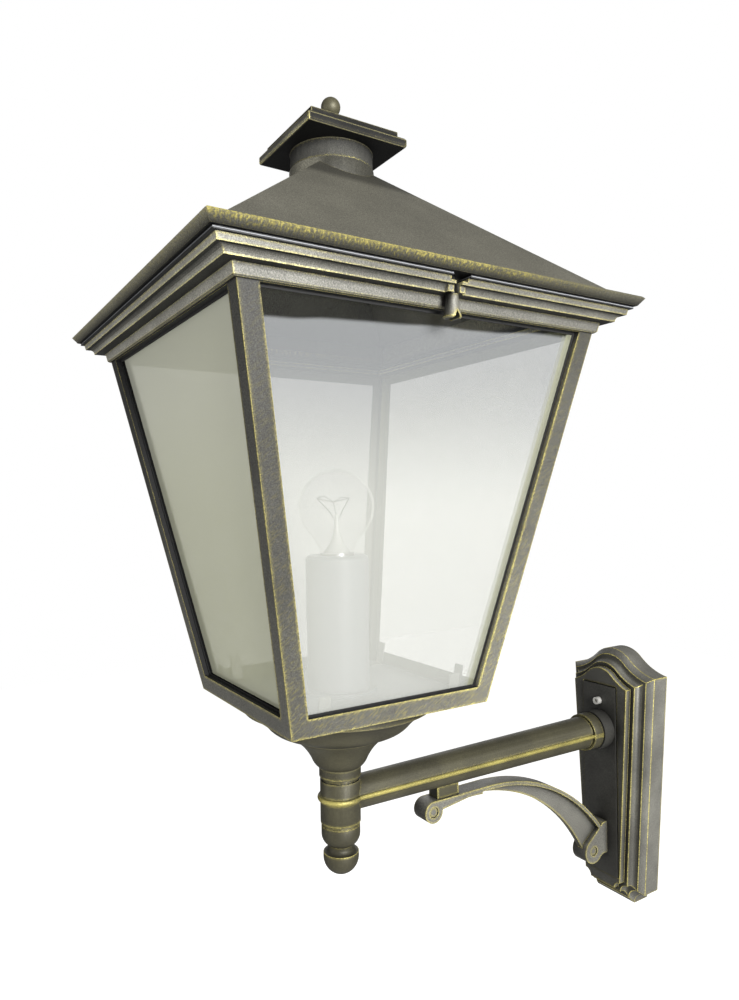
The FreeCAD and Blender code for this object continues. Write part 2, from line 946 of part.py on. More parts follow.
def brace_foot():
    """The flat foot on the arm plate and the tear-drop that joins it to the heel."""
    x = -brace_half
    inner = panel_face + foot_thickness
    foot = box((x, brace_half), (out(inner), out(panel_face)), (arm_height - foot_bottom, arm_height - foot_top))
    corners = [
        brace_point(*heel_touch(inner, foot_top), x), brace_point(inner, foot_top, x),
        brace_point(inner, foot_bottom, x), brace_point(heel[0], heel[1] + heel_radius, x),
    ]
    web = Part.Face(Part.makePolygon(corners + corners[:1])).extrude(vec(2 * brace_half, 0, 0))
    return foot.fuse(web)


def make_brace():
    places = ((nose, nose_radius), (heel, heel_radius))
    bosses = [rod_x(radius, brace_half, out(at[0]), arm_height - at[1]) for at, radius in places]
    brace = brace_bow().cut([brace_pocket(-1), brace_pocket(1)])
    brace = brace.fuse(bosses + [brace_foot()])
    hole = brace_pin_radius + brace_pin_gap
    holes = [rod_x(hole, brace_half, out(at[0]), arm_height - at[1]) for at, radius in places]
    cuts = holes + [pad_screw(brace_screw_gap), pad_screw_sink(), foot_screw(brace_screw_gap)]
    return brace.cut(cuts).removeSplitter()


def make_brace_pins():
    half = brace_half - brace_pin_recess
    pins = [rod_x(brace_pin_radius, half, out(at[0]), arm_height - at[1]) for at in (nose, heel)]
    return Part.Compound(pins)


def pad_screw_seat():
    """Level of the pad screw's head, sunk into the bow's straight front stretch."""
    start = nose[0] - nose_radius / 2
    share = ((pad_start + pad_end) / 2 - start) / (belly_start[0] - start)
    belly = nose[1] + share * (belly_start[1] - nose[1])
    return arm_height - belly + brace_screw_sink


def pad_screw_sink():
    """The hole that lets the pad screw's head into the brace."""
    seat = pad_screw_seat()
    middle = out((pad_start + pad_end) / 2)
    return cylinder(brace_screw_head + brace_screw_gap, seat - nose_radius, seat, 0, middle)


def make_brace_screws():
    middle = out((pad_start + pad_end) / 2)
    seat = pad_screw_seat()
    pad_head = cylinder(brace_screw_head, seat - brace_screw_head_height, seat, 0, middle)
    pad_shank = cylinder(brace_screw_radius, seat, arm_height - brace_top + pad_screw_depth, 0, middle)
    level = arm_height - (foot_top + foot_bottom) / 2
    skin_back = out(panel_face - panel_skin)
    foot_head = rod_y(brace_screw_head, skin_back, skin_back + brace_screw_head_height, 0, level)
    screws = [pad_shank.fuse(pad_head), foot_screw(0).fuse(foot_head)]
    return Part.Compound([screw.removeSplitter() for screw in screws])


def panel_span(grow):
    """The arm plate's width and height, each side moved out by grow."""
    wide = (-panel_half - grow, panel_half + grow)
    tall = (arm_height - panel_bottom - grow, arm_height + panel_top + grow)
    return wide, tall


def plate_tongue(grow):
    wide = (-tongue_half - grow, tongue_half + grow)
    low = arm_height - panel_bottom
    deep = (out(recess_floor) - tongue_thickness - grow, out(recess_floor))
    return box(wide, deep, (low - tongue_reach - grow, low + panel_rim))


def make_arm_plate():
    wide, tall = panel_span(0)
    plate = box(wide, (out(panel_face), out(recess_floor)), tall)
    inner_wide, inner_tall = panel_span(-panel_rim)
    plate = plate.cut(box(inner_wide, (out(panel_face - panel_skin), out(recess_floor)), inner_tall))
    boss = rod_y(panel_boss_radius, out(arm_joint), out(panel_face), 0, arm_height)
    plate = plate.fuse([boss, plate_tongue(0)])
    through = rod_y(spigot_radius + spigot_clearance, out(arm_joint), out(recess_floor), 0, arm_height)
    level = arm_height + set_screw_height
    pilot = rod_y(set_screw_radius + set_screw_gap, out(panel_face), out(recess_floor), 0, level)
    return plate.cut([through, pilot, foot_screw(brace_screw_gap)]).removeSplitter()


def make_arm_nut():
    nut = hexagon(arm_nut_half_flats, 0, arm_nut_height, spigot_radius + hinge_clearance)
    nut.rotate(vec(0, 0, 0), vec(1, 0, 0), -90)
    nut.translate(vec(0, out(panel_face - panel_skin), arm_height))
    return nut


def make_arm_plate_screw():
    level = arm_height + set_screw_height
    face = out(panel_face)
    front = face - set_screw_head_height
    head = rod_y(set_screw_head, front, face, 0, level)
    socket = rod_y(set_screw_socket, front, front + set_screw_socket_depth, 0, level)
    shank = rod_y(set_screw_radius, face, face + set_screw_length, 0, level)
    return head.fuse(shank).cut(socket).removeSplitter()


def crown_points(step):
    """Right half of the plate's top: crown peak, start and middle of the sweep, shoulder, as (x, z) points."""
    peak = arm_height + crown_height + step
    crown = crown_radius + crown_spread * step
    centre = peak - crown
    shoulder = (shoulder_half + step, arm_height + shoulder_height + shoulder_spread * step)
    apart = math.hypot(shoulder[0], shoulder[1] - centre)
    turn = math.atan2(shoulder[1] - centre, shoulder[0])
    reach = crown + sweep_radius
    turn += math.acos((reach ** 2 + apart ** 2 - sweep_radius ** 2) / (2 * reach * apart))
    sweep_x, sweep_z = reach * math.cos(turn), centre + reach * math.sin(turn)
    touch = (crown * math.cos(turn), centre + crown * math.sin(turn))
    end_turn = math.atan2(sweep_z - shoulder[1], sweep_x - shoulder[0])
    half_turn = (turn + end_turn) / 2
    middle = (sweep_x - sweep_radius * math.cos(half_turn), sweep_z - sweep_radius * math.sin(half_turn))
    return (0, peak), touch, middle, shoulder


def scoop_points(step):
    """Right lower corner of the plate: start, middle and end of its hollow, as (x, z) points."""
    x = foot_half + foot_spread * step
    z = arm_height - plate_bottom - step
    radius = scoop_radius + scoop_spread * step
    inward = radius * math.sqrt(0.5)
    return (x, z + radius), (x - inward, z + inward), (x - radius, z)


def plate_outline(step, distance):
    """The plate's outline in a plane parallel to the wall, moved outward by a step of its edge."""
    peak, touch, sweep_middle, shoulder = crown_points(step)
    scoop_start, scoop_middle, scoop_end = scoop_points(step)

    def points(sign, *places):
        return [vec(sign * x, out(distance), z) for x, z in places]

    curves = [Part.Arc(*points(-1, touch), *points(1, peak, touch))]
    curves.append(Part.LineSegment(*points(1, scoop_end), *points(-1, scoop_end)))
    for sign in (1, -1):
        curves.append(Part.Arc(*points(sign, touch, sweep_middle, shoulder)))
        curves.append(Part.LineSegment(*points(sign, shoulder, scoop_start)))
        curves.append(Part.Arc(*points(sign, scoop_start, scoop_middle, scoop_end)))
    return Part.Wire(Part.__sortEdges__([curve.toShape() for curve in curves]))


def plate_slab(step, start, end):
    return Part.Face(plate_outline(step, start)).extrude(vec(0, start - end, 0))


def plate_cove():
    """The hollow moulding between the first step and the third edge."""
    run = cove_end[0] - first_step[0]
    depth = cove_start - cove_end[1]
    wires = []
    for step in range(7):
        turn = math.pi / 12 * step
        edge = first_step[0] + run * (1 - math.cos(turn))
        wires.append(plate_outline(edge, cove_start - depth * math.sin(turn)))
    layers = [Part.makeLoft([low, high], True, True) for low, high in zip(wires, wires[1:])]
    slope = Part.makeLoft([plate_outline(*cove_end), plate_outline(*slab_step)], True, True)
    return layers + [slope]


def wall_screw_levels():
    return (-wall_screw_spacing / 2, wall_screw_spacing / 2)


def make_wall_plate():
    layers = [plate_slab(0, plate_face, first_step[1]), plate_slab(first_step[0], first_step[1], cove_start)]
    layers += plate_cove() + [plate_slab(slab_step[0], slab_step[1], 0)]
    plate = layers[0].multiFuse(layers[1:])
    wide, tall = panel_span(recess_gap)
    floor_back = recess_floor - recess_floor_wall
    plate = plate.cut(box(wide, (out(plate_face), out(recess_floor)), tall))
    plate = plate.cut(plate_slab(cavity_step, floor_back, 0))
    bosses = [rod_y(wall_boss_radius, out(recess_floor), 0, 0, z) for z in wall_screw_levels()]
    set_level = arm_height + set_screw_height
    set_end = panel_face - set_screw_length - set_screw_gap
    bosses.append(rod_y(set_boss_radius, out(recess_floor), out(set_end - recess_floor_wall), 0, set_level))
    plate = plate.fuse(bosses)
    holes = [rod_y(wall_screw_radius, out(recess_floor), 0, 0, z) for z in wall_screw_levels()]
    holes.append(rod_y(set_screw_radius + hinge_clearance, out(recess_floor), out(set_end), 0, set_level))
    holes.append(rod_y(cable_hole_radius, out(recess_floor), out(floor_back), 0, arm_height))
    return plate.cut(holes + [plate_tongue(tongue_gap)]).removeSplitter()


lantern_pieces = {
    "cage_frame": make_cage_frame(),
    "floor_plate": make_floor_plate(),
    "pane_seal": make_pane_seal(),
    "cornice_ring": make_cornice_ring(),
    "cornice_screws": make_cornice_screws(),
    "lid_gasket": make_lid_gasket(),
    "roof": make_roof(),
    "hinge_pins": make_hinge_pins(),
    "chimney_cap": make_chimney_cap(),
    "cap_knob": make_cap_knob(),
    "cap_nut": make_cap_nut(),
    "latch_screw": make_latch_screw(),
    "lamp_pillar": make_lamp_pillar(),
    "lampholder": make_lampholder(),
    "bulb_glass": make_bulb_glass(),
    "bulb_cap": make_bulb_cap(),
    "bulb_stem": make_bulb_stem(),
    "base_cup": make_base_cup(),
    "finial": make_finial(),
    "stem_nipple": make_stem_nipple(),
    "stem_nut": make_stem_nut(),
}
for turns, name in enumerate(("pane_latch_side", "pane_wall_side", "pane_hinge_side", "pane_street_side")):
    lantern_pieces[name] = quarter(make_pane(), turns)
clips = [quarter(make_clip(side), turns) for turns in range(4) for side in (-1, 1)]
lantern_pieces["pane_clips"] = Part.Compound(clips)

pieces = {name: at_lantern(shape) for name, shape in lantern_pieces.items()}
pieces.update({
    "arm": make_arm(),
    "arm_nut": make_arm_nut(),
    "brace": make_brace(),
    "brace_pins": make_brace_pins(),
    "brace_screws": make_brace_screws(),
    "arm_plate": make_arm_plate(),
    "arm_plate_screw": make_arm_plate_screw(),
    "wall_plate": make_wall_plate(),
})

os.makedirs("parts", exist_ok=True)
for name, shape in pieces.items():
    shape.exportStep(f"parts/{name}.step")
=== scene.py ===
import math

import bmesh
import bpy
from mathutils import Matrix, Vector


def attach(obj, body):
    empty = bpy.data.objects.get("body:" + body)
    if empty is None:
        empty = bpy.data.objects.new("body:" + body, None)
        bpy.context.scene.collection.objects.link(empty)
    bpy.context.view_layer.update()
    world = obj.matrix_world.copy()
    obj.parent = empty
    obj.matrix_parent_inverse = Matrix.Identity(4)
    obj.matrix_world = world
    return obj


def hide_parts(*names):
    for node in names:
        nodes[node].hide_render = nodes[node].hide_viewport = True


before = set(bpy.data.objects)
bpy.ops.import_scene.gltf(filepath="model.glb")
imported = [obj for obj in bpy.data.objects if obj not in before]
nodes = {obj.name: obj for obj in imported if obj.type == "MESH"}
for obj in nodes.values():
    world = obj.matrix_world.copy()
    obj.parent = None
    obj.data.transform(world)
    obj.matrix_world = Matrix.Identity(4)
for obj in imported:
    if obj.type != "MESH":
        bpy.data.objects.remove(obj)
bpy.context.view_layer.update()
mm = 0.001
axisY = -344.5  # lantern axis from the wall, mm
cageZ = 167.0  # underside of the cage above the origin, mm
armZ = 87.0  # arm axis above the origin, mm
print("frame loaded:", len(nodes), "nodes")


def hexToLinear(code):  # sRGB hex to linear
    parts = [int(code[i:i + 2], 16) / 255 for i in (1, 3, 5)]
    return [c / 12.92 if c <= 0.04045 else ((c + 0.055) / 1.055) ** 2.4 for c in parts] + [1]


def setStops(elements, stops):  # a ramp's pairs of a position and a hex, grey or linear colour
    while len(elements) < len(stops):
        elements.new(0.5)
    for element, (position, colour) in zip(elements, stops):
        element.position = position
        if isinstance(colour, str):
            colour = hexToLinear(colour)
        element.color = colour if isinstance(colour, list) else [colour] * 3 + [1]


def addNode(tree, kind, settings=None, **links):  # one node, its settings, then what feeds it
    node = tree.nodes.new("ShaderNode" + kind)
    for key, value in (settings or {}).items():
        if key == "stops":
            setStops(node.color_ramp.elements, value)
        elif isinstance(key, str) and hasattr(node, key):
            setattr(node, key, value)
        else:
            node.inputs[key].default_value = value
    for name, source in links.items():
        key = int(name[1:]) if name[1:].isdigit() else name  # i0 is the first input
        tree.links.new(source, node.inputs[key])
    return node


def newMaterial(name):
    material = bpy.data.materials.new(name)
    material.use_nodes = True
    tree = material.node_tree
    tree.nodes.clear()
    shader = addNode(tree, "BsdfPrincipled")
    addNode(tree, "OutputMaterial", None, Surface=shader.outputs[0])
    return material, tree, shader


# bronze-black metallic lacquer on die-cast aluminium, dry-brushed with gold along the raised edges:
# soft dark faces with a fine grain, and dull gold wherever a brush would touch
bronze = {
    "tones": [(0.22, "#2b2a26"), (0.5, "#4e4d48"), (0.78, "#73726a")],  # lacquer across its grain
    "golds": [(0.3, "#8a824e"), (0.7, "#b2a656"), (1.0, "#e6d981")],  # gold, thin to thick
    "mottle": 40.0, "grain": 0.75,  # clouds and sprayed grain, mm
    "relief": 0.12, "reliefDepth": 0.3,  # how strongly the grain stands out, and its depth in mm
    "rough": (0.3, 0.62), "smooth": (0.7, 0.45),  # place on the grain, roughness
    "metal": [(0.0, 0.35), (1.0, 0.5)],  # metallic from lacquer to gold
    "crease": 8.0,  # how far out a hollow is felt, mm
    "raised": [(0.5, 0.0), (0.8, 1.0)],  # gold by how open the spot is
    "arris": (0.38, 0.58), "arrisThin": 0.45,  # gold on an edge follows the grain
    "beadShine": [(0.35, 0.2), (0.6, 0.5)],
    "paintedShading": 0.15, "unshadedOpenness": 0.9,  # painted shade: colour left in hollows, and how open a spot must be to take none
    "street": (-0.9, -0.6),  # facing along y, from the street side to clear of it
    "brushed": (-0.97, -0.85),  # facing along z, undersides get no gold
    "underside": (-0.98, -0.9, 0.15, 1.0),  # and take painted shade, nearly black
}
# shade scales the lacquer: part the casting's own tone, part painted light and shade for how the lamps fall
# on it;
# halo is the gold around edges and edge the rubbed arris itself; shadeOpenness is how open a spot can be and
# still take the darkest painted shade; streetShading scales the faces to the street, painted light above 1,
# painted shade below;
# paintedLightRamps scale the colour along an axis with painted light and shade: axis, start and end in mm,
# first and last factor
# rim is the heights of the drip edge, bead those of the arm's bead from its axis, mm; satin adds roughness
castings = {
    "bronze": {"name": "rubbedBronzeLacquer", "shade": 2.0, "mottle": 0.5, "halo": 0.6, "crease": 13.0,
               "streetShading": 0.4, "shadeOpenness": 0.75},
    "panel": {"name": "flatBronzeLacquer", "shade": 0.5, "mottle": 0.5, "crease": 13.0},
    "turned": {"name": "turnedBronzeLacquer", "shade": 0.4, "mottle": 0.5, "halo": 0.5, "edge": 0.17,
               "crease": 13.0, "bead": (-2.2, 1.8)},
    "knob": {"name": "goldenBronzeLacquer", "shade": 0.65, "mottle": 0.5, "edge": 0.25},
    "bronzeEdge": {"name": "rubbedGoldEdge", "edge": 1.0},
    "capEdge": {"name": "dullGoldEdge", "edge": 0.45},
    "posts": {"name": "brushedBronzeLacquer", "shade": 1.3, "halo": 0.2, "strokes": 0.42, "streetShading": 2.2,
              "paintedLightRamps": [(2, 167.0, 447.0, 1.0, 0.3), (1, -440.0, -240.0, 0.75, 1.7),
                          (0, -112.0, -88.0, 0.4, 1.0)]},
    "cornice": {"name": "satinBronzeLacquer", "shade": 1.7, "mottle": 0.3, "halo": 0.2, "crease": 4.0,
                "width": 3.0, "streetShading": 3.0},
    "brace": {"name": "paintedLitBronzeLacquer", "shade": 1.8, "mottle": 0.3, "halo": 0.8, "crease": 8.0,
              "streetShading": 0.35, "shadeOpenness": 0.5},
    "roofs": {"name": "sandTexturedBronze", "shade": 1.3, "mottle": 0.2, "edge": 0.1, "rim": (459.3, 466.5),
              "streetShading": 4.0, "paintedLightRamps": [(2, 552.0, 560.0, 1.0, 0.45)]},
    "caps": {"name": "darkBronzeLacquer", "shade": 0.6, "mottle": 0.5, "halo": 0.2, "crease": 25.0,
             "satin": 0.3,
             "paintedLightRamps": [(2, 583.0, 597.8, 1.4, 0.2), (2, 607.0, 611.0, 1.0, 6.0),
                         (1, -386.5, -385.5, 10.0, 1.0)]},
}


def offStreet(tree, facing):  # 0 on faces to the street, 1 on the others
    start, end = bronze["street"]
    return addNode(tree, "MapRange", {1: start, 2: end}, i0=facing.outputs[1]).outputs[0]


# gold around an edge: width in mm, then its strength by how far the rounded normal agrees with the true one
haloBrush = {"width": 4.5, "crest": [(0.74, 1.0), (0.79, 0.8)], "skirt": 0.84, "end": 0.985,
             "patches": [(0.35, 0.35), (0.6, 1.0)]}


def haloGold(tree, rub, mixed, normal, halo, width):
    rounded = addNode(tree, "Bevel", {"samples": 4, "Radius": width * mm}).outputs[0]
    agree = addNode(tree, "VectorMath", {"operation": "DOT_PRODUCT"}, i0=rounded, i1=normal).outputs["Value"]
    stops = haloBrush["crest"] + [(haloBrush["skirt"], halo), (haloBrush["end"], 0.0)]
    near = addNode(tree, "ValToRGB", {"stops": stops}, Fac=agree).outputs[0]
    patchy = addNode(tree, "ValToRGB", {"stops": haloBrush["patches"]}, Fac=mixed).outputs[0]
    return addNode(tree, "Math", {"operation": "MULTIPLY_ADD"}, i0=near, i1=patchy, i2=rub).outputs[0]


# fine brush marks slanting up the posts, thicker low down: width and rise in mm, tilt in degrees
postBrush = {"width": 0.8, "stretch": 20.0, "tilt": 40, "rise": 280.0, "marks": [(0.52, 0.0), (0.62, 1.0)]}


def postGold(tree, rub, place, height, facing, strokes):
    slanted = addNode(tree, "Mapping", {
        "vector_type": "TEXTURE", "Rotation": (math.radians(postBrush["tilt"]), 0, 0),
        "Scale": (1, postBrush["stretch"], 1)}, Vector=place).outputs[0]
    stroke = addNode(tree, "TexNoise", {"Scale": 1000 / postBrush["width"], "Detail": 2.0}, Vector=slanted)
    stroke = addNode(tree, "ValToRGB", {"stops": postBrush["marks"]}, Fac=stroke.outputs[0]).outputs[0]
    top = cageZ + postBrush["rise"]
    low = addNode(tree, "MapRange", {1: cageZ * mm, 2: top * mm, 3: strokes, 4: strokes / 2},
                  i0=height).outputs[0]
    low = addNode(tree, "Math", {"operation": "MULTIPLY"}, i0=low, i1=offStreet(tree, facing)).outputs[0]
    return addNode(tree, "Math", {"operation": "MULTIPLY_ADD"}, i0=stroke, i1=low, i2=rub).outputs[0]


# the drip edge is brushed with gold from above in short upright strokes, and low down it is painted nearly
# black as shade where its rounded edge turns from the light
# patch, fringe, wallward's first two numbers and drip are in mm
rimBrush = {"patch": 1.3, "squash": 0.2, "thin": -0.15, "thick": 0.2, "marks": [(0.38, 0.0), (0.7, 0.75)],
            "fringe": 0.6, "wallward": (-320.0, -200.0, 1.0, 0.15), "drip": 5.5, "dripShade": 0.12}


def rimGold(tree, rub, place, spot, facing, rim):
    low, high = rim
    upright = addNode(tree, "Mapping", {"Scale": (1, 1, rimBrush["squash"])}, Vector=place).outputs[0]
    patch = addNode(tree, "TexNoise", {"Scale": 1000 / rimBrush["patch"], "Detail": 3.0},
                    Vector=upright).outputs[0]
    level = addNode(tree, "MapRange", {1: low * mm, 2: high * mm, 3: rimBrush["thin"], 4: rimBrush["thick"]},
                    i0=spot.outputs[2]).outputs[0]
    patch = addNode(tree, "Math", {"operation": "ADD"}, i0=patch, i1=level).outputs[0]
    patch = addNode(tree, "ValToRGB", {"stops": rimBrush["marks"]}, Fac=patch).outputs[0]
    fringe = high + rimBrush["fringe"]
    onRim = addNode(tree, "MapRange", {1: high * mm, 2: fringe * mm, 3: 1.0, 4: 0.0},
                    i0=spot.outputs[2]).outputs[0]
    onRim = addNode(tree, "Math", {"operation": "MULTIPLY"}, i0=onRim, i1=offStreet(tree, facing)).outputs[0]
    start, end, first, last = rimBrush["wallward"]
    wallward = addNode(tree, "MapRange", {1: start * mm, 2: end * mm, 3: first, 4: last}, i0=spot.outputs[1])
    onRim = addNode(tree, "Math", {"operation": "MULTIPLY"}, i0=onRim, i1=wallward.outputs[0]).outputs[0]
    return addNode(tree, "Math", {"operation": "MULTIPLY_ADD"}, i0=patch, i1=onRim, i2=rub).outputs[0]


def beadGold(tree, rub, mixed, height, bead):  # the arm's bead is rubbed bright all over
    middle = armZ + sum(bead) / 2
    half = (bead[1] - bead[0]) / 2
    onBead = addNode(tree, "Math", {"operation": "COMPARE", 1: middle * mm, 2: half * mm},
                     i0=height).outputs[0]
    shine = addNode(tree, "ValToRGB", {"stops": bronze["beadShine"]}, Fac=mixed).outputs[0]
    return addNode(tree, "Math", {"operation": "MULTIPLY_ADD"}, i0=onBead, i1=shine, i2=rub).outputs[0]


def bronzeMaterial(name, shade=1.0, mottle=0.2, halo=0.0, edge=0.0, strokes=0.0, rim=None,
                   crease=bronze["crease"], satin=0.0, width=haloBrush["width"], bead=None,
                   streetShading=1.0, paintedLightRamps=(), shadeOpenness=0.3):
    material, tree, shader = newMaterial(name)
    place = addNode(tree, "TexCoord").outputs["Object"]
    spot = addNode(tree, "SeparateXYZ", None, Vector=place)
    height = spot.outputs[2]
    cloud = addNode(tree, "TexNoise", {"Scale": 1000 / bronze["mottle"], "Detail": 3.0}, Vector=place)
    grain = addNode(tree, "TexNoise", {"Scale": 1000 / bronze["grain"], "Detail": 2.0}, Vector=place)
    mixed = addNode(tree, "Mix", {0: mottle}, i2=grain.outputs[0], i3=cloud.outputs[0]).outputs[0]
    tones = [(stop, [c * shade for c in hexToLinear(tone)[:3]] + [1]) for stop, tone in bronze["tones"]]
    lacquer = addNode(tree, "ValToRGB", {"stops": tones}, Fac=mixed).outputs[0]
    normal = addNode(tree, "NewGeometry").outputs["Normal"]
    facing = addNode(tree, "SeparateXYZ", None, Vector=normal)
    hollow = addNode(tree, "AmbientOcclusion", {"samples": 6, "Distance": crease * mm}).outputs["AO"]
    raised = addNode(tree, "ValToRGB", {"stops": bronze["raised"]}, Fac=hollow).outputs[0]
    thin, thick = bronze["arris"]
    arris = [(thin, bronze["arrisThin"] * edge), (thick, edge)]
    rub = addNode(tree, "ValToRGB", {"stops": arris}, Fac=mixed).outputs[0]
    if halo:
        rub = haloGold(tree, rub, mixed, normal, halo, width)
    if strokes:
        rub = postGold(tree, rub, place, height, facing, strokes)
    if rim:
        rub = rimGold(tree, rub, place, spot, facing, rim)
    rub = addNode(tree, "Math", {"operation": "MULTIPLY"}, i0=rub, i1=raised).outputs[0]
    start, end = bronze["brushed"]
    reached = addNode(tree, "MapRange", {1: start, 2: end}, i0=facing.outputs[2]).outputs[0]
    rub = addNode(tree, "Math", {"operation": "MULTIPLY"}, i0=rub, i1=reached).outputs[0]
    if bead:
        rub = beadGold(tree, rub, mixed, height, bead)
    gold = addNode(tree, "ValToRGB", {"stops": bronze["golds"]}, Fac=rub).outputs[0]
    colour = addNode(tree, "Mix", {"data_type": "RGBA"}, i0=rub, i6=lacquer, i7=gold).outputs[2]
    # painted shade in hollows, on undersides and at the rim's foot, and painted light and shade by side and
    # along the axes, all multiplied into the colour
    shadeStops = [(shadeOpenness, bronze["paintedShading"]), (bronze["unshadedOpenness"], 1.0)]
    paintedShading = addNode(tree, "ValToRGB", {"stops": shadeStops}, Fac=hollow).outputs[0]
    shading = [(facing.outputs[2], *bronze["underside"])]  # measure, start, end, first and last factor
    if rim:
        shading.append((height, rim[0] * mm, (rim[0] + rimBrush["drip"]) * mm, rimBrush["dripShade"], 1.0))
    if streetShading != 1.0:
        shading.append((facing.outputs[1], *bronze["street"], streetShading, 1.0))
    for axis, start, end, first, last in paintedLightRamps:
        shading.append((spot.outputs[axis], start * mm, end * mm, first, last))
    for source, start, end, first, last in shading:
        factor = addNode(tree, "MapRange", {1: start, 2: end, 3: first, 4: last}, i0=source).outputs[0]
        paintedShading = addNode(tree, "Math", {"operation": "MULTIPLY"}, i0=paintedShading, i1=factor).outputs[0]
    colour = addNode(tree, "Mix", {"data_type": "RGBA", "blend_type": "MULTIPLY", 0: 1.0},
                     i6=colour, i7=paintedShading)
    tree.links.new(colour.outputs[2], shader.inputs["Base Color"])
    metal = addNode(tree, "ValToRGB", {"stops": bronze["metal"]}, Fac=rub).outputs[0]
    tree.links.new(metal, shader.inputs["Metallic"])
    sheen = [(stop, value + satin) for stop, value in (bronze["rough"], bronze["smooth"])]
    rough = addNode(tree, "ValToRGB", {"stops": sheen}, Fac=mixed).outputs[0]
    tree.links.new(rough, shader.inputs["Roughness"])
    relief = addNode(tree, "Bump", {"Strength": bronze["relief"], "Distance": bronze["reliefDepth"] * mm},
                     Height=grain.outputs[0])
    tree.links.new(relief.outputs[0], shader.inputs["Normal"])
    return material


# windows of the cage in mm: half width at the cage's underside, lean per mm of height, post, foot and head,
# how deep the rubber-lined faces lie, and the facing of the far edge, which stays bare
reveals = {"bottomHalf": 82.1, "lean": 0.207, "post": 13.5, "low": 176.0, "high": 443.0, "depth": (0.6, 3.6),
           "bare": -0.7}
windowHalf = reveals["bottomHalf"] - reveals["post"] - reveals["lean"] * cageZ  # carried down to z = 0

# float glass under a painted reflection of the bright surroundings, lying over what is behind like a thin
# milky veil:
# colours at the head and foot, cover of each face of the pane there, and the width at the left and foot of a
# black band, the rubber seal painted as dark as its reveal in shadow
panes = {
    "pane_latch_side": {"head": "#868889", "foot": "#a6a7a1", "coverHead": 0.4, "coverFoot": 0.46,
                        "clearHead": True},
    "pane_street_side": {"head": "#ecedda", "foot": "#dcddc2", "coverHead": 0.62, "coverFoot": 0.62,
                         "sealShadow": (8.0, 7.0)},
    "pane_hinge_side": {"head": "#84857a", "foot": "#989990", "coverHead": 0.38, "coverFoot": 0.32},
    "pane_wall_side": {"head": "#d6d7a8", "foot": "#e2e3d2", "coverHead": 0.3, "coverFoot": 0.08},
}
# the panes' painted reflection, the strips and band over it, and the glass itself
paneLook = {
    "top": 425.0, "bottom": 300.0,  # heights between which the painted reflection changes, mm
    "clearFrom": 430.5, "clearSoft": 2.5, "clearTilt": 0.05, "clearCover": 0.04,  # strip under the cornice, nearly free of the painted reflection
    "wave": 60.0, "waveDepth": 6.0,  # its wavy edge, mm
    "edgeStrip": "#828370", "edgeReach": (-6.0, 7.0), "edgeCover": 0.65,  # strip up the far edge, mm
    # colour of the black band over the street pane, rubber painted as dark as its reveal in shadow
    "sealShadow": "#0e0e0d",
    "scatter": 0.35,  # share of the painted reflection that casts a shadow
    "rough": 0.1, "ior": 1.52,
}


def farEdge(tree, spot):  # 1 on the strip along the latch window's edge nearest the wall
    start, end = paneLook["edgeReach"]
    outward = addNode(tree, "Math", {"operation": "MULTIPLY", 1: -1.0}, i0=spot.outputs[1]).outputs[0]
    inset = addNode(tree, "Math", {"operation": "MULTIPLY_ADD", 1: reveals["lean"]}, i0=spot.outputs[2],
                    i2=outward).outputs[0]
    middle = (start + end) / 2 - windowHalf - axisY
    band = addNode(tree, "Math", {"operation": "COMPARE", 1: middle * mm, 2: (end - start) / 2 * mm},
                   i0=inset)
    return band.outputs[0]


